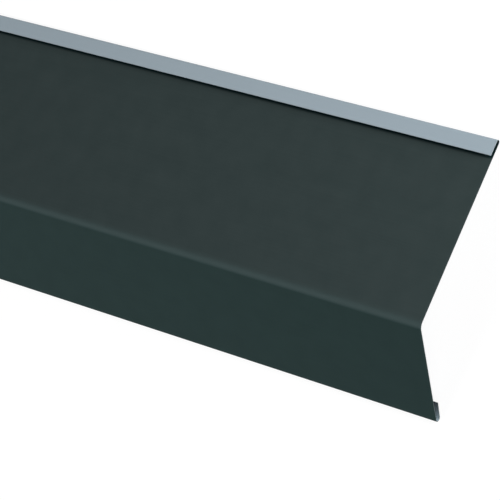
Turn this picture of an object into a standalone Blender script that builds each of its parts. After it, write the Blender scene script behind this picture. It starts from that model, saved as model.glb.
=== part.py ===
"""Drip edge flashing: one strip of coated steel sheet, folded along its whole length.

The section starts at the free edge of the open hem on the back of the flange, runs down the flange,
over the main bend and down the apron, and ends at the free edge of the open drip hem behind it.
The strip lies as it would on a level floor: bend upwards, standing on the folds of its two hems.
X runs along the strip, the apron faces -Y and the origin is on the floor under the middle.
"""

import math

import bmesh
import bpy
from mathutils import Matrix, Vector

# Sizes of the stock, in metres.
STOCK_LENGTH = 1.000
SHEET_THICKNESS = 0.0006

# Sizes of the folded section, measured over its outer faces.
FLANGE_WIDTH = 0.135            # back of the hem's fold to the bend line
APRON_DEPTH = 0.085             # bend line to the bottom of the drip fold
FLANGE_TO_APRON_DEG = 120.0     # inside angle between flange and apron
BEND_INSIDE_RADIUS = 0.006

# The back hem is folded over the top of the flange and stays open.
BACK_HEM_WIDTH = 0.0123         # back of the fold to the hem's free edge
BACK_HEM_GAP = 0.0028           # clear gap between the hem's return and the flange

# The drip hem is folded up behind the apron and opens a little towards its free edge.
DRIP_HEM_HEIGHT = 0.0143        # bottom of the fold to the hem's free edge
DRIP_HEM_GAP = 0.0036           # clear gap beside the fold
DRIP_HEM_FLARE_DEG = 3.0        # how far the return stands off parallel to the apron

# Flat facets stand for each bend, at most this far round each.
FACET_DEG = 9.0
SMOOTH_UNDER_DEG = 30.0

# Finish of the coated face.
COATING_COLOUR = (0.032, 0.045, 0.046, 1.0)
COATING_ROUGHNESS = 0.45


class MiddleLine:
    """The sheet's middle line, drawn in the section's own plane as flats and bends."""

    def __init__(self):
        self.points = [Vector((0.0, 0.0))]
        self.heading = 0.0

    def direction(self):
        return Vector((math.cos(self.heading), math.sin(self.heading)))

    def flat(self, length):
        """A straight run of the sheet."""
        self.points.append(self.points[-1] + self.direction() * length)

    def bend(self, turn_deg, inside_radius):
        """A bend to the left if turn_deg is positive. Returns the centre that it is bent round."""
        radius = inside_radius + SHEET_THICKNESS / 2
        turn = math.radians(turn_deg)
        to_centre = math.copysign(radius, turn) * self.direction().orthogonal()
        centre = self.points[-1] + to_centre
        facets = math.ceil(abs(turn_deg) / FACET_DEG)
        for facet in range(1, facets + 1):
            spoke = Matrix.Rotation(turn * facet / facets, 2) @ -to_centre
            self.points.append(centre + spoke)
        self.heading += turn
        return centre


def folded_section():
    """The middle line's points, and the centre and outer radius of each hem's fold."""
    back_fold_radius = BACK_HEM_GAP / 2 + SHEET_THICKNESS
    drip_fold_radius = DRIP_HEM_GAP / 2 + SHEET_THICKNESS
    main_turn_deg = 180.0 - FLANGE_TO_APRON_DEG
    bend_setback = (BEND_INSIDE_RADIUS + SHEET_THICKNESS) * math.tan(math.radians(main_turn_deg / 2))

    line = MiddleLine()
    line.flat(BACK_HEM_WIDTH - back_fold_radius)
    back_fold = line.bend(-180.0, BACK_HEM_GAP / 2)
    line.flat(FLANGE_WIDTH - back_fold_radius - bend_setback)
    line.bend(main_turn_deg, BEND_INSIDE_RADIUS)
    line.flat(APRON_DEPTH - bend_setback - drip_fold_radius)
    drip_fold = line.bend(180.0 - DRIP_HEM_FLARE_DEG, DRIP_HEM_GAP / 2)
    line.flat(DRIP_HEM_HEIGHT - drip_fold_radius)
    return line.points, (back_fold, back_fold_radius), (drip_fold, drip_fold_radius)


def laid_on_the_floor(points, back_fold, drip_fold):
    """The section turned and moved so that both folds touch z = 0, with y = 0 midway between them."""
    (back_centre, back_radius), (drip_centre, drip_radius) = back_fold, drip_fold
    span = back_centre - drip_centre
    floor_rise = math.asin((back_radius - drip_radius) / span.length)
    turn = Matrix.Rotation(floor_rise - math.atan2(span.y, span.x), 2)
    back_centre, drip_centre = turn @ back_centre, turn @ drip_centre
    middle = (back_centre.x + back_radius + drip_centre.x - drip_radius) / 2
    shift = Vector((-middle, back_radius - back_centre.y))
    return [turn @ point + shift for point in points]


def sheet_surface(name, section):
    """The section's middle line drawn out along X as an open surface of the stock's length."""
    build = bmesh.new()
    corners = [build.verts.new((-STOCK_LENGTH / 2, point.x, point.y)) for point in section]
    edges = [build.edges.new(pair) for pair in zip(corners, corners[1:])]
    drawn = bmesh.ops.extrude_edge_only(build, edges=edges)["geom"]
    far_corners = [item for item in drawn if isinstance(item, bmesh.types.BMVert)]
    bmesh.ops.translate(build, verts=far_corners, vec=(STOCK_LENGTH, 0.0, 0.0))
    mesh = bpy.data.meshes.new(name)
    build.to_mesh(mesh)
    build.free()
    return mesh


def coated_steel():
    """The dark polyester coating of the sheet's weather face."""
    material = bpy.data.materials.new("coated_steel")
    material.use_nodes = True
    shader = material.node_tree.nodes["Principled BSDF"]
    shader.inputs["Base Color"].default_value = COATING_COLOUR
    shader.inputs["Roughness"].default_value = COATING_ROUGHNESS
    shader.inputs["Metallic"].default_value = 0.0
    return material


def drip_edge(collection):
    """The folded strip as one closed solid."""
    section = laid_on_the_floor(*folded_section())
    strip = bpy.data.objects.new("drip_edge", sheet_surface("drip_edge", section))
    collection.objects.link(strip)
    strip.data.materials.append(coated_steel())
    strip.data.shade_smooth()
    strip.data.set_sharp_from_angle(angle=math.radians(SMOOTH_UNDER_DEG))
    sheet = strip.modifiers.new("sheet thickness", "SOLIDIFY")
    sheet.thickness = SHEET_THICKNESS
    sheet.offset = 0.0
    sheet.use_even_offset = True
    return strip


def main():
    for leftover in list(bpy.data.objects):
        bpy.data.objects.remove(leftover, do_unlink=True)
    collection = bpy.data.collections.new("drip_edge_flashing")
    bpy.context.scene.collection.children.link(collection)
    drip_edge(collection)


main()
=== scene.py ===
"""Dresses the drip edge flashing: the folded sheet with its coats and cut edges, the studio, the camera.

The strip is one sheet of coil-coated steel, folded along its whole length. Each point of the sheet is a
function of two parameters, how far round the developed section it lies and how far along the strip.
The section's sizes are in millimetres, and a mesh is written in metres, in the row frame: X runs along
the strip, the apron faces -Y, and the strip lies bend upwards on the floor at z = 0.
"""

import logging
import math
from dataclasses import dataclass, field
from enum import IntEnum
from typing import Any

import bpy
import numpy as np
from mathutils import Matrix, Vector


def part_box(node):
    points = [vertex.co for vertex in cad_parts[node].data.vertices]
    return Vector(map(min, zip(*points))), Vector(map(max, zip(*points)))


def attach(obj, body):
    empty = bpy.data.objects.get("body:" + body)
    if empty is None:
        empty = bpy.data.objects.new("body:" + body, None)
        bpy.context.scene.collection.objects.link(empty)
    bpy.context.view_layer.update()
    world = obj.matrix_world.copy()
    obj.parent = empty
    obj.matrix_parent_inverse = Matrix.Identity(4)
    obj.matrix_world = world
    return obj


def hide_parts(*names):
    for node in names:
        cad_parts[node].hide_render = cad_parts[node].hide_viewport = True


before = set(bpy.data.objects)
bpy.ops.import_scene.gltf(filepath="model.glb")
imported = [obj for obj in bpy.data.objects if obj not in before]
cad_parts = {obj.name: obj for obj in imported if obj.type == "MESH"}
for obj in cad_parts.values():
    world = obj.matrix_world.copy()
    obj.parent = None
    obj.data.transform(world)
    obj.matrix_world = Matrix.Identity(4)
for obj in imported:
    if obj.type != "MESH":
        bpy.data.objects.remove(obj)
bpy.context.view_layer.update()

LOG = logging.getLogger("drip_edge_flashing")
MM = 0.001
NODE = "drip_edge"
PHOTO_SIDE_PX = 500
WHITE = (1.0, 1.0, 1.0, 1.0)
SMOOTH_UNDER_DEG = 30.0
Patch = tuple[int, np.ndarray, np.ndarray]


class SheetFace(IntEnum):
    """The three kinds of surface that the sheet shows, numbered as the mesh's material slots."""

    TOPCOAT = 0
    BACKING = 1
    CUT = 2


@dataclass(frozen=True)
class Run:
    """One stretch of the section: a flat where turn_deg is 0, and otherwise a bend of even curvature.

    Args:
        name: What the stretch is called on the folded strip.
        length: Its length along the middle line.
        turn_deg: How far it turns, positive to the left.
        station_gap: How far apart its stations lie at most.
    """

    name: str
    length: float
    turn_deg: float
    station_gap: float


@dataclass(frozen=True)
class PlateWave:
    """A standing wave of a flat between two folds, which hold it still, as in thin sheet after folding.

    Args:
        run: The flat that it is in.
        height: How far it stands off the true flat at most.
        wavelength: Its length along the strip.
        halves: How many half waves lie side by side across the flat.
        phase: Where along the strip it starts, as an angle.
    """

    run: str
    height: float
    wavelength: float
    halves: int
    phase: float


@dataclass(frozen=True)
class Section:
    """The folded section, station by station round the developed sheet.

    Args:
        travel: Distance of each station from the back hem's free edge, along the middle line.
        heading: Direction of the middle line at each station, as an angle from +Y towards +Z.
        points: The middle line's own points as (y, z).
        starts: Where each run starts and the last one ends, as distances like travel.
    """

    travel: np.ndarray
    heading: np.ndarray
    points: np.ndarray
    starts: np.ndarray


@dataclass
class FoldedSheet:
    """The strip of coated steel: flange with its back hem, main bend, and apron with its drip hem.

    The folded sizes are the solid's own, over its outer faces, and the gaps are clear ones. The topcoat
    carries a painted highlight along the main bend: it starts the highlight's reach before the bend and is
    strongest at the highlight's peak share of the way round it. The back hem's painted shade ends
    hem_shade_reach past the hem's edge.
    """

    thickness: float = 0.6
    flange_width: float = 135.0
    apron_depth: float = 85.0
    flange_to_apron_deg: float = 120.0
    bend_inside_radius: float = 6.0
    back_hem_width: float = 12.3
    back_hem_gap: float = 2.8
    drip_hem_height: float = 14.3
    drip_hem_gap: float = 3.6
    drip_hem_flare_deg: float = 3.0
    edge_break: float = 0.08
    flat_station_gap: float = 2.5
    bend_station_deg: float = 4.0
    length_station_gap: float = 8.0
    painted_bend_highlight_reach: float = 1.5
    painted_bend_highlight_peak: float = 0.6
    hem_shade_reach: float = 1.6
    waves: tuple[PlateWave, ...] = field(
        default=(
            PlateWave("flange", 0.10, 430.0, 1, 0.6),
            PlateWave("flange", 0.05, 210.0, 2, 2.1),
            PlateWave("flange", 0.03, 120.0, 1, 4.0),
            PlateWave("apron", 0.05, 370.0, 1, 1.3),
            PlateWave("apron", 0.02, 150.0, 2, 3.2),
        )
    )

    def fold_radii(self) -> tuple[float, float]:
        """The outer radii of the back hem's fold and of the drip hem's fold."""
        return self.back_hem_gap / 2 + self.thickness, self.drip_hem_gap / 2 + self.thickness

    def bend_setback(self) -> float:
        """How far before its corner the main bend starts: the outer radius times tan(half its turn)."""
        half_turn = math.radians(180.0 - self.flange_to_apron_deg) / 2
        return (self.bend_inside_radius + self.thickness) * math.tan(half_turn)

    def runs(self) -> list[Run]:
        """The section's flats and bends in order, from the back hem's free edge to the drip hem's.

        Returns:
            The runs. A bend's length is its turn in radians times the radius of the middle line.
        """
        back_fold, drip_fold = self.fold_radii()
        main_turn = 180.0 - self.flange_to_apron_deg
        setback = self.bend_setback()

        def flat(name: str, length: float) -> Run:
            """A flat of that length."""
            return Run(name, length, 0.0, self.flat_station_gap)

        def bend(name: str, turn_deg: float, inside_radius: float) -> Run:
            """A bend to the left where turn_deg is positive.

            Args:
                name: The bend's name.
                turn_deg: How far it turns.
                inside_radius: The radius of the sheet's inner face.

            Returns:
                The bend, as long as its middle line.
            """
            radius = inside_radius + self.thickness / 2
            gap = math.radians(self.bend_station_deg) * radius
            return Run(name, abs(math.radians(turn_deg)) * radius, turn_deg, gap)

        return [
            flat("back_return", self.back_hem_width - back_fold),
            bend("back_fold", -180.0, self.back_hem_gap / 2),
            flat("flange", self.flange_width - back_fold - setback),
            bend("main_bend", main_turn, self.bend_inside_radius),
            flat("apron", self.apron_depth - setback - drip_fold),
            bend("drip_fold", 180.0 - self.drip_hem_flare_deg, self.drip_hem_gap / 2),
            flat("drip_return", self.drip_hem_height - drip_fold),
        ]

    def section(self) -> Section:
        """Works out the middle line and lays it on the floor.

        The heading is each bend's turn spread evenly along it. Between two stations the line is an arc. Its
        chord is its length times the sine of half its turn over half its turn, along the mean heading.
        The sum of the chords is then turned so that both hems' folds, as circles, touch z = 0.

        Returns:
            The section, with y = 0 midway between the folds' outer faces.
        """
        runs = self.runs()
        starts = np.concatenate(([0.0], np.cumsum([run.length for run in runs])))
        turned = np.radians(np.concatenate(([0.0], np.cumsum([run.turn_deg for run in runs]))))
        pieces = [
            np.linspace(start, start + run.length, math.ceil(run.length / run.station_gap), endpoint=False)
            for start, run in zip(starts, runs)
        ]
        covered = self.covered_by_hem(starts)
        breaks = np.array((
            self.edge_break,
            covered,
            covered + self.hem_shade_reach,
            starts[-1] - self.edge_break,
            starts[-1],
        ))
        travel = np.sort(np.concatenate((*pieces, breaks)))
        heading = np.interp(travel, starts, turned)

        half_turn = np.diff(heading) / 2
        mean = heading[:-1] + half_turn
        chord = np.diff(travel) * np.sinc(half_turn / np.pi)
        steps = np.stack((chord * np.cos(mean), chord * np.sin(mean)), axis=1)
        points = np.vstack((np.zeros(2), np.cumsum(steps, axis=0)))

        raw = Section(travel, heading, points, starts)
        back = self.fold_centre(raw, "back_fold")
        drip = self.fold_centre(raw, "drip_fold")
        back_radius, drip_radius = self.fold_radii()
        span = back - drip
        turn = math.asin((back_radius - drip_radius) / math.hypot(*span)) - math.atan2(span[1], span[0])
        matrix = np.array(((math.cos(turn), -math.sin(turn)), (math.sin(turn), math.cos(turn))))
        back, drip = matrix @ back, matrix @ drip
        middle = (back[0] + back_radius + drip[0] - drip_radius) / 2
        shift = np.array((-middle, back_radius - back[1]))
        return Section(travel, heading + turn, points @ matrix.T + shift, starts)

    def covered_by_hem(self, starts: np.ndarray) -> float:
        """How far round the section the back hem covers the flange: to below the hem's free edge."""
        flange = [run.name for run in self.runs()].index("flange")
        return float(starts[flange]) + self.back_hem_width - self.fold_radii()[0]

    def run_start(self, section: Section, name: str) -> tuple[Run, np.ndarray, np.ndarray]:
        """Where a run starts.

        Args:
            section: The section, laid down or not.
            name: The run's name.

        Returns:
            The run, the middle line's point where it starts, and the direction that the line has there.
        """
        runs = self.runs()
        index = [run.name for run in runs].index(name)
        station = int(np.argmin(np.abs(section.travel - section.starts[index])))
        heading = section.heading[station]
        return runs[index], section.points[station], np.array((math.cos(heading), math.sin(heading)))

    def fold_centre(self, section: Section, name: str) -> np.ndarray:
        """The centre that a bend is bent round: a radius to the side it turns to, from where it starts."""
        run, point, way = self.run_start(section, name)
        radius = run.length / math.radians(run.turn_deg)
        return point + radius * np.array((-way[1], way[0]))

    def near_corner(self) -> Vector:
        """The sharp corner that the outer faces of flange and apron would meet in, at the strip's near end.

        Returns:
            The corner in metres: from the main bend's start, its setback ahead and half the sheet outwards.
        """
        _, point, way = self.run_start(self.section(), "main_bend")
        corner = point + self.bend_setback() * way + self.thickness / 2 * np.array((way[1], -way[0]))
        return Vector((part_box(NODE)[1].x, *(corner * MM)))

    def along(self, low: float, high: float) -> np.ndarray:
        """The stations along the strip, closer at both sheared ends, where the edge is broken."""
        inner_low, inner_high = low + self.edge_break, high - self.edge_break
        count = math.ceil((inner_high - inner_low) / self.length_station_gap) + 1
        return np.concatenate(([low], np.linspace(inner_low, inner_high, count), [high]))

    def ripple(self, section: Section, along: np.ndarray) -> np.ndarray:
        """How far the sheet stands off its true flats, towards the topcoat side.

        Each wave is a sine along the strip times half sines across its flat, so it is nothing at the folds.

        Args:
            section: The folded section.
            along: The stations along the strip.

        Returns:
            The offsets, one row for each station of the section and one column for each along the strip.
        """
        names = [run.name for run in self.runs()]
        total = np.zeros((section.travel.size, along.size))
        for wave in self.waves:
            index = names.index(wave.run)
            start, end = section.starts[index], section.starts[index + 1]
            share = np.clip((section.travel - start) / (end - start), 0.0, 1.0)
            across = np.sin(math.pi * wave.halves * share)
            lengthwise = np.sin(2 * math.pi * along / wave.wavelength + wave.phase)
            total += wave.height * np.outer(across, lengthwise)
        return total

    def skins(self, section: Section, along: np.ndarray) -> tuple[np.ndarray, np.ndarray]:
        """The sheet's two faces as grids of points.

        A point lies on the middle line, moved along the sheet's normal by the ripple and by half the
        thickness, less the broken edge where a free edge or a sheared end is nearer than that.

        Args:
            section: The folded section.
            along: The stations along the strip.

        Returns:
            The topcoat's grid and the backing coat's grid, each (stations, stations along, 3).
        """
        to_edge = np.minimum(section.travel, section.travel[-1] - section.travel)[:, None]
        to_end = np.minimum(along - along[0], along[-1] - along)[None, :]
        half = self.thickness / 2 - np.clip(self.edge_break - np.minimum(to_edge, to_end), 0.0, None)
        ripple = self.ripple(section, along)
        normal = np.stack((np.sin(section.heading), -np.cos(section.heading)), axis=1)

        def face(offset: np.ndarray) -> np.ndarray:
            """One face of the sheet.

            Args:
                offset: How far off the middle line each point of the grid lies.

            Returns:
                The face's points.
            """
            across = section.points[:, None, :] + offset[:, :, None] * normal[:, None, :]
            lengthwise = np.broadcast_to(along[None, :, None], (*offset.shape, 1))
            return np.concatenate((lengthwise, across), axis=2)

        return face(ripple + half), face(ripple - half)

    def painted_bend_highlight(self, section: Section) -> np.ndarray:
        """How strong the painted highlight along the main bend is at each station: 1 near its middle.

        It rises as a squared sine from a little way up the flange, and falls as a squared cosine to the end
        of the bend.
        """
        start, peak, end = self.bend_marks(section)
        share = np.interp(section.travel, (start - self.painted_bend_highlight_reach, peak, end), (0.0, 1.0, 2.0))
        return np.sin(math.pi / 2 * share) ** 2

    def bend_marks(self, section: Section) -> tuple[float, float, float]:
        """Where the main bend starts, where its painted highlight is strongest, and where it ends."""
        index = [run.name for run in self.runs()].index("main_bend")
        start, end = section.starts[index], section.starts[index + 1]
        return start, start + self.painted_bend_highlight_peak * (end - start), end

    def apron_shade_share(self, section: Section) -> np.ndarray:
        """How much of the apron's painted shade, a darker and greener tone, each station gets.

        It is 0 up to where the bend's painted highlight is strongest, and rises as a squared sine to 1 at
        the end of the bend.
        """
        _, peak, end = self.bend_marks(section)
        share = np.interp(section.travel, (peak, end), (0.0, 1.0))
        return np.sin(math.pi / 2 * share) ** 2

    def hem_shade(self, section: Section) -> np.ndarray:
        """How far in the back hem's painted shade each station is: 1 up to the hem's edge, and 0 just past
        it.
        """
        past_edge = section.travel - self.covered_by_hem(section.starts)
        return np.clip(1.0 - past_edge / self.hem_shade_reach, 0.0, 1.0)

    def drip_shade(self, section: Section) -> np.ndarray:
        """Where the drip hem's painted shade falls: 0 up to its return's start and 1 at its free edge."""
        return np.interp(section.travel, section.starts[-2:], (0.0, 1.0))

    def build(self) -> bpy.types.Object:
        """Makes the sheet as one closed mesh: two faces, two free edges and two sheared ends.

        Returns:
            The object, with a UV map in metres of the developed sheet, each face's kind as its material
            slot, and an attribute for each painted highlight and painted shade that follows the folds.
        """
        low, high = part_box(NODE)
        section = self.section()
        along = self.along(low.x / MM, high.x / MM)
        topcoat, backing = self.skins(section, along)
        rows, columns = topcoat.shape[:2]
        outer = np.arange(rows * columns).reshape(rows, columns)
        inner = outer + rows * columns
        u, v = np.broadcast_arrays(along[None, :], section.travel[:, None])
        flat_uv = np.stack((u, v), axis=2)

        patches = [
            (SheetFace.TOPCOAT, outer, flat_uv),
            (SheetFace.BACKING, inner[:, ::-1], flat_uv[:, ::-1]),
            (SheetFace.CUT, np.stack((inner[0], outer[0])), self.edge_uv(along)),
            (SheetFace.CUT, np.stack((outer[-1], inner[-1])), self.edge_uv(along)),
            (SheetFace.CUT, np.stack((outer[:, 0], inner[:, 0])), self.edge_uv(section.travel)),
            (SheetFace.CUT, np.stack((inner[:, -1], outer[:, -1])), self.edge_uv(section.travel)),
        ]
        points = np.concatenate((topcoat.reshape(-1, 3), backing.reshape(-1, 3))) * MM
        mesh = grid_mesh("folded_sheet", points, patches)
        # Shares of the painted highlight along the main bend and of the painted shades on the apron and in
        # both hems.
        shares = {
            "painted_bend_highlight": self.painted_bend_highlight(section),
            "apron_shade_share": self.apron_shade_share(section),
            "hem_shade": self.hem_shade(section),
            "drip_shade": self.drip_shade(section),
        }
        for name, share in shares.items():
            attribute = mesh.attributes.new(name, "FLOAT", "POINT")
            attribute.data.foreach_set("value", np.tile(np.repeat(share, columns), 2))
        sheet = bpy.data.objects.new("folded_sheet", mesh)
        bpy.context.scene.collection.objects.link(sheet)
        gap = max((Vector(points.min(0)) - low).length, (Vector(points.max(0)) - high).length)
        LOG.info("folded_sheet: %d by %d stations, %.2f mm off the solid's corners", rows, columns, gap / MM)
        return sheet

    def edge_uv(self, travel: np.ndarray) -> np.ndarray:
        """The UV grid of a cut edge: its length one way and the sheet's thickness the other."""
        u, v = np.broadcast_arrays(travel[None, :], np.array(((0.0,), (self.thickness,))))
        return np.stack((u, v), axis=2)


def grid_mesh(name: str, points: np.ndarray, patches: list[Patch]) -> bpy.types.Mesh:
    """Makes one mesh from patches that share its points.

    A patch is a grid of point numbers, and each square of the grid is a face. Its front is on the side that
    the way down the rows, crossed with the way along the columns, points to.

    Args:
        name: The mesh's name.
        points: All points, in metres.
        patches: Each patch's material slot, its grid of point numbers, and its UV grid in millimetres.

    Returns:
        The mesh, smooth except at sharp edges.
    """
    faces, uvs, slots = [], [], []
    for slot, grid, uv in patches:
        corners = ((slice(None, -1), slice(None, -1)), (slice(1, None), slice(None, -1)),
                   (slice(1, None), slice(1, None)), (slice(None, -1), slice(1, None)))
        quads = np.stack([grid[corner].ravel() for corner in corners], axis=1)
        faces.append(quads)
        uvs.append(np.stack([uv[corner].reshape(-1, 2) for corner in corners], axis=1))
        slots.append(np.full(len(quads), int(slot)))
    quads = np.concatenate(faces)
    mesh = bpy.data.meshes.new(name)
    mesh.from_pydata(points, [], quads)
    mesh.uv_layers.new(name="developed").data.foreach_set("uv", np.concatenate(uvs).ravel() * MM)
    mesh.polygons.foreach_set("material_index", np.concatenate(slots))
    mesh.shade_smooth()
    mesh.set_sharp_from_angle(angle=math.radians(SMOOTH_UNDER_DEG))
    mesh.update()
    return mesh


def linear(hex_colour: str) -> tuple[float, float, float, float]:
    """Turns an sRGB colour into Blender's linear one.

    Args:
        hex_colour: Six hex digits, such as "3c4648".

    Returns:
        Linear red, green and blue, and an alpha of 1.
    """
    shares = (int(hex_colour[i:i + 2], 16) / 255 for i in (0, 2, 4))
    red, green, blue = (s / 12.92 if s <= 0.04045 else ((s + 0.055) / 1.055) ** 2.4 for s in shares)
    return red, green, blue, 1.0


def add(
    tree: bpy.types.NodeTree,
    kind: str,
    inputs: dict[Any, Any] | None = None,
    **settings: Any,
) -> bpy.types.Node:
    """Adds a node with its settings and links.

    Args:
        tree: The node tree.
        kind: The node's type, such as "ShaderNodeBump".
        inputs: For each input, by name or number, its value or the output socket that feeds it.
        **settings: The node's own properties.

    Returns:
        The node.
    """
    node = tree.nodes.new(kind)
    for name, value in settings.items():
        setattr(node, name, value)
    for key, value in (inputs or {}).items():
        if isinstance(value, bpy.types.NodeSocket):
            tree.links.new(value, node.inputs[key])
        else:
            node.inputs[key].default_value = value
    return node


def new_material(name: str) -> tuple[bpy.types.Material, bpy.types.NodeTree]:
    """A material with an empty node tree."""
    material = bpy.data.materials.new(name)
    material.use_nodes = True
    material.node_tree.nodes.clear()
    return material, material.node_tree


def per_metre(millimetres: float) -> float:
    """The scale at which a pattern on coordinates in metres repeats about every so many millimetres."""
    return 1.0 / (millimetres * MM)


@dataclass(frozen=True)
class CoilCoat:
    """A coil coating: polyester rolled on the flat sheet and baked, 25 microns on the face, 10 on the back.

    It is matt and even. The roller leaves faint lines along the coil, the baked film has a fine grain, and
    its tone drifts a little over a thumb's width. The real grain is about 0.1 mm across, too fine to show,
    so it is drawn at grain_mm.

    Four painted tones follow the folds: a painted highlight round the main bend, the colour of the painted
    shade in the back hem's gap, and the painted shades of the apron and the drip hem, which multiply the
    coat's colour there, where a white one leaves it as it is. The roughness drifts with the noise, whose
    values lie mostly between noise_low and noise_high.
    """

    name: str
    dark: str
    light: str
    highlighted: str
    apron_painted_shade: str
    drip_hem_painted_shade: str
    painted_hem_shade: str
    roughness: float
    roughness_drift: float
    specular: float
    drift_mm: float = 16.0
    roller_line_mm: float = 1.1
    roller_line_length_mm: float = 160.0
    roller_line_share: float = 0.35
    grain_mm: float = 0.9
    grain_depth_mm: float = 0.006
    noise_low: float = 0.3
    noise_high: float = 0.7

    def material(self) -> bpy.types.Material:
        """Makes the material.

        Returns:
            A Principled material whose patterns follow the developed sheet, round every fold.
        """
        material, tree = new_material(self.name)
        sheet = add(tree, "ShaderNodeUVMap", uv_map="developed").outputs["UV"]
        drift = add(tree, "ShaderNodeTexNoise", {
            "Vector": sheet, "Scale": per_metre(self.drift_mm), "Detail": 3.0,
        })
        lines_at = add(tree, "ShaderNodeMapping", {
            "Vector": sheet,
            "Scale": (per_metre(self.roller_line_length_mm), per_metre(self.roller_line_mm), 1.0),
        })
        lines = add(tree, "ShaderNodeTexNoise", {
            "Vector": lines_at.outputs[0], "Scale": 1.0, "Detail": 2.0,
        })
        grain = add(tree, "ShaderNodeTexNoise", {
            "Vector": sheet, "Scale": per_metre(self.grain_mm), "Detail": 2.0,
        })
        tone = add(tree, "ShaderNodeMix", {
            0: self.roller_line_share, 2: drift.outputs["Fac"], 3: lines.outputs["Fac"],
        }, data_type="FLOAT")
        colour = add(tree, "ShaderNodeMix", {
            0: tone.outputs[0], 6: linear(self.dark), 7: linear(self.light),
        }, data_type="RGBA")
        # The colour then takes the painted highlight along the main bend and the painted shades of the
        # apron, the drip hem and the back hem's gap.
        highlight_share = add(tree, "ShaderNodeAttribute", attribute_name="painted_bend_highlight")
        highlighted = add(tree, "ShaderNodeMix", {
            0: highlight_share.outputs["Fac"], 6: colour.outputs[2], 7: linear(self.highlighted),
        }, data_type="RGBA")
        apron_shade = add(tree, "ShaderNodeAttribute", attribute_name="apron_shade_share")
        apron_shaded = add(tree, "ShaderNodeMix", {
            0: apron_shade.outputs["Fac"], 6: highlighted.outputs[2], 7: linear(self.apron_painted_shade),
        }, data_type="RGBA", blend_type="MULTIPLY")
        drip = add(tree, "ShaderNodeAttribute", attribute_name="drip_shade")
        drip_shaded = add(tree, "ShaderNodeMix", {
            0: drip.outputs["Fac"], 6: apron_shaded.outputs[2], 7: linear(self.drip_hem_painted_shade),
        }, data_type="RGBA", blend_type="MULTIPLY")
        shade = add(tree, "ShaderNodeAttribute", attribute_name="hem_shade")
        shaded = add(tree, "ShaderNodeMix", {
            0: shade.outputs["Fac"], 6: drip_shaded.outputs[2], 7: linear(self.painted_hem_shade),
        }, data_type="RGBA")
        roughness = add(tree, "ShaderNodeMapRange", {
            "Value": tone.outputs[0], "From Min": self.noise_low, "From Max": self.noise_high,
            "To Min": self.roughness - self.roughness_drift,
            "To Max": self.roughness + self.roughness_drift,
        })
        bump = add(tree, "ShaderNodeBump", {
            "Height": grain.outputs["Fac"], "Distance": self.grain_depth_mm * MM, "Strength": 1.0,
        })
        shader = add(tree, "ShaderNodeBsdfPrincipled", {
            "Base Color": shaded.outputs[2],
            "Roughness": roughness.outputs[0],
            "Specular IOR Level": self.specular,
            "Normal": bump.outputs[0],
        })
        add(tree, "ShaderNodeOutputMaterial", {"Surface": shader.outputs[0]})
        return material


@dataclass(frozen=True)
class ShearedEdge:
    """The sheet's cut edge: low-carbon steel, sheared, with zinc and paint drawn over it by the blade.

    It reads as a dull dark grey line, with fine streaks across the thickness where the blade passed.
    """

    name: str = "sheared_edge"
    steel: str = "566163"
    smear: str = "353f41"
    roughness: float = 0.55
    metallic: float = 0.4
    streak_mm: float = 0.5
    streak_length_mm: float = 4.0

    def material(self) -> bpy.types.Material:
        """Makes the material, with its streaks across the edge."""
        material, tree = new_material(self.name)
        edge = add(tree, "ShaderNodeUVMap", uv_map="developed").outputs["UV"]
        streaks_at = add(tree, "ShaderNodeMapping", {
            "Vector": edge,
            "Scale": (per_metre(self.streak_mm), per_metre(self.streak_length_mm), 1.0),
        })
        streaks = add(tree, "ShaderNodeTexNoise", {
            "Vector": streaks_at.outputs[0], "Scale": 1.0, "Detail": 2.0,
        })
        colour = add(tree, "ShaderNodeMix", {
            0: streaks.outputs["Fac"], 6: linear(self.smear), 7: linear(self.steel),
        }, data_type="RGBA")
        shader = add(tree, "ShaderNodeBsdfPrincipled", {
            "Base Color": colour.outputs[2], "Roughness": self.roughness, "Metallic": self.metallic,
        })
        add(tree, "ShaderNodeOutputMaterial", {"Surface": shader.outputs[0]})
        return material


# The matt topcoat has hardly any gloss, so it shows its own dark green-grey from every side.
TOPCOAT = CoilCoat(
    name="matt_polyester_topcoat",
    dark="293434",
    light="364040",
    # Painted highlight along the main bend.
    highlighted="3c4b4b",
    # Painted shade over the apron and all past the main bend: a darker, greener multiply.
    apron_painted_shade="dffffc",
    drip_hem_painted_shade="ffffff",
    # Painted shade in the back hem's gap and a little past its edge.
    painted_hem_shade="0d1e20",
    roughness=0.46,
    roughness_drift=0.04,
    specular=0.03,
)
# The thin backing coat is glossier, and a light blue-grey.
BACKING = CoilCoat(
    name="backing_coat",
    dark="8998a0",
    light="919fa7",
    highlighted="8d9ba4",
    apron_painted_shade="ffffff",
    # Painted shade inside the drip hem, darkest at the return's free edge.
    drip_hem_painted_shade="707070",
    painted_hem_shade="8d9ba4",
    roughness=0.42,
    roughness_drift=0.05,
    specular=0.4,
)
EDGE = ShearedEdge()


@dataclass
class SoftBox:
    """A soft area lamp that faces the strip's near end.

    Args:
        name: What it is called.
        direction: The way from the point that it faces to the lamp.
        distance: How far away it is, in metres.
        size: Its width and height, in metres.
        watts: Its power.
    """

    name: str
    direction: tuple[float, float, float]
    distance: float
    size: tuple[float, float]
    watts: float

    def build(self, target: Vector) -> bpy.types.Object:
        """Makes the lamp.

        Args:
            target: The point that it faces.

        Returns:
            The lamp's object.
        """
        lamp = bpy.data.lights.new(self.name, "AREA")
        lamp.shape = "RECTANGLE"
        lamp.size, lamp.size_y = self.size
        lamp.energy = self.watts
        place = bpy.data.objects.new(self.name, lamp)
        way = Vector(self.direction).normalized()
        place.location = target + way * self.distance
        place.rotation_euler = way.to_track_quat("Z", "Y").to_euler()
        bpy.context.scene.collection.objects.link(place)
        LOG.info("%s: %.0f W at %.1f m", self.name, self.watts, self.distance)
        return place


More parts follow.
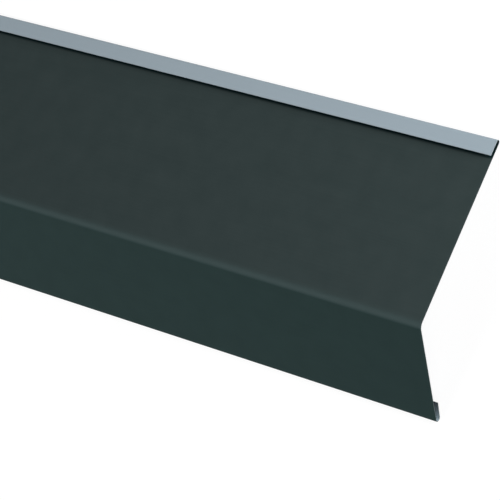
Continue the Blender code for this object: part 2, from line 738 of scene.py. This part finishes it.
def seen_share(tree: bpy.types.NodeTree) -> bpy.types.NodeSocket:
    """Adds the nodes that tell whether a ray shows the thing it meets.

    Args:
        tree: The node tree.

    Returns:
        A socket that is 1 for a ray straight from the eye, from a gloss or through glass, otherwise 0.
    """
    path = add(tree, "ShaderNodeLightPath")
    straight_or_gloss = add(tree, "ShaderNodeMath", {
        0: path.outputs["Is Camera Ray"], 1: path.outputs["Is Glossy Ray"],
    }, operation="ADD")
    seen = add(tree, "ShaderNodeMath", {
        0: straight_or_gloss.outputs[0], 1: path.outputs["Is Transmission Ray"],
    }, operation="ADD", use_clamp=True)
    return seen.outputs[0]


@dataclass
class Studio:
    """A plain pale floor under an even sky, and soft lamps. Its sizes are in metres.

    The sky gives hardly any light, but it shows as bright as the far floor, so that the two meet unseen.
    """

    sky: float = 0.02
    sky_seen: float = 0.90
    floor_radius: float = 60.0
    floor_sides: int = 64
    floor_colour: str = "d8dadb"
    floor_seen_colour: str = "686868"
    floor_glow: float = 0.90
    lamps: tuple[SoftBox, ...] = (
        SoftBox("overhead_box", (-0.53, -0.31, 0.79), 3.0, (1.2, 1.5), 39.5),
        SoftBox("back_box", (-0.55, 0.48, 0.68), 3.0, (1.0, 1.0), 8.2),
        SoftBox("end_box", (0.75, 0.60, 0.30), 1.2, (0.8, 0.8), 20.0),
        SoftBox("front_box", (0.55, -0.55, 0.63), 3.0, (1.2, 1.2), 26.0),
    )

    def build(self, target: Vector) -> None:
        """Makes the sky, the floor and the lamps.

        Args:
            target: The point that the lamps face.
        """
        self.make_sky()
        self.floor()
        for lamp in self.lamps:
            lamp.build(target)

    def make_sky(self) -> None:
        """Makes the world: sky's strength as a light, and sky_seen's where it shows."""
        world = bpy.data.worlds.new("studio_sky")
        world.use_nodes = True
        tree = world.node_tree
        tree.nodes.clear()
        strength = add(tree, "ShaderNodeMix", {
            0: seen_share(tree), 2: self.sky, 3: self.sky_seen,
        }, data_type="FLOAT")
        background = add(tree, "ShaderNodeBackground", {
            "Color": WHITE, "Strength": strength.outputs[0],
        })
        add(tree, "ShaderNodeOutputWorld", {"Surface": background.outputs[0]})
        bpy.context.scene.world = world

    def floor(self) -> bpy.types.Object:
        """Makes the floor: a disc whose rim is a circle's cosine and sine.

        Seen directly, in a gloss or through glass it is white, mostly by its own glow. The rest is light
        that it returns, so that the strip's shadow still darkens it. From below it isn't seen.

        Returns:
            The floor's object.
        """
        angle = np.linspace(0.0, 2 * np.pi, self.floor_sides, endpoint=False)
        circle = np.stack((np.cos(angle), np.sin(angle), np.zeros_like(angle)), axis=1)
        mesh = bpy.data.meshes.new("floor")
        mesh.from_pydata(self.floor_radius * circle, [], [list(range(self.floor_sides))])
        material, tree = new_material("pale_floor")
        unseen = add(tree, "ShaderNodeBsdfDiffuse", {"Color": linear(self.floor_colour)})
        paint = add(tree, "ShaderNodeBsdfDiffuse", {"Color": linear(self.floor_seen_colour)})
        glow = add(tree, "ShaderNodeEmission", {"Strength": self.floor_glow})
        white = add(tree, "ShaderNodeAddShader", {0: paint.outputs[0], 1: glow.outputs[0]})
        lit = add(tree, "ShaderNodeMixShader", {
            0: seen_share(tree), 1: unseen.outputs[0], 2: white.outputs[0],
        })
        under = add(tree, "ShaderNodeNewGeometry")
        clear = add(tree, "ShaderNodeBsdfTransparent")
        side = add(tree, "ShaderNodeMixShader", {
            0: under.outputs["Backfacing"], 1: lit.outputs[0], 2: clear.outputs[0],
        })
        add(tree, "ShaderNodeOutputMaterial", {"Surface": side.outputs[0]})
        mesh.materials.append(material)
        floor = bpy.data.objects.new("floor", mesh)
        bpy.context.scene.collection.objects.link(floor)
        return floor


@dataclass
class PhotoCamera:
    """The camera as it stood to the strip: above its near end, with the strip running off to the left.

    It is placed by the main bend's sharp corner at the near end, and the angles were fitted to the strip's
    straight edges.

    Args:
        azimuth_deg: The side that it looks from, turned from -Y towards +X.
        elevation_deg: How steeply it looks down.
        roll_deg: How far it is turned about its view.
        corner_depth: How far in front of it the corner lies, along its view, in metres.
        corner_pixel: Where the corner lies in the photo, from its upper left.
        focal_px: The focal length in the photo's pixels.
        sensor_mm: The width of the sensor.
    """

    azimuth_deg: float = 104.551
    elevation_deg: float = 56.490
    roll_deg: float = -90.739
    corner_depth: float = 1.5657
    corner_pixel: tuple[float, float] = (420.19, 326.64)
    focal_px: float = 2434.1
    sensor_mm: float = 36.0

    def turn(self) -> Matrix:
        """The camera's turn, with its own X to the picture's right, Y up and Z back towards the viewer."""
        tilt = Matrix.Rotation(math.radians(90.0 - self.elevation_deg), 3, "X")
        roll = Matrix.Rotation(math.radians(self.roll_deg), 3, "Z")
        return Matrix.Rotation(math.radians(self.azimuth_deg), 3, "Z") @ tilt @ roll

    def build(self, corner: Vector) -> bpy.types.Object:
        """Makes the camera and sets it as the scene's.

        Args:
            corner: The main bend's sharp corner at the near end.

        Returns:
            The camera's object.
        """
        data = bpy.data.cameras.new("camera")
        data.sensor_width = self.sensor_mm
        data.lens = self.focal_px / PHOTO_SIDE_PX * self.sensor_mm
        camera = bpy.data.objects.new("camera", data)
        across, down = ((pixel - PHOTO_SIDE_PX / 2) / self.focal_px for pixel in self.corner_pixel)
        turn = self.turn()
        camera.rotation_euler = turn.to_euler()
        camera.location = corner - turn @ (Vector((across, -down, -1.0)) * self.corner_depth)
        bpy.context.scene.collection.objects.link(camera)
        bpy.context.scene.camera = camera
        distance = (camera.location - corner).length
        LOG.info("camera: %.0f mm lens, %.2f m from the near corner", data.lens, distance)
        return camera


def main() -> None:
    """Builds the sheet, dresses it, and makes the studio and the camera."""
    logging.basicConfig(level=logging.INFO, format="%(name)s: %(message)s")
    strip = FoldedSheet()
    sheet = strip.build()
    for finish in (TOPCOAT, BACKING, EDGE):
        sheet.data.materials.append(finish.material())
    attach(sheet, "root")
    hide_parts(NODE)
    near_corner = strip.near_corner()
    Studio().build(near_corner)
    PhotoCamera().build(near_corner)
    bpy.context.scene.view_settings.view_transform = "Standard"


if __name__ == "__main__":
    main()
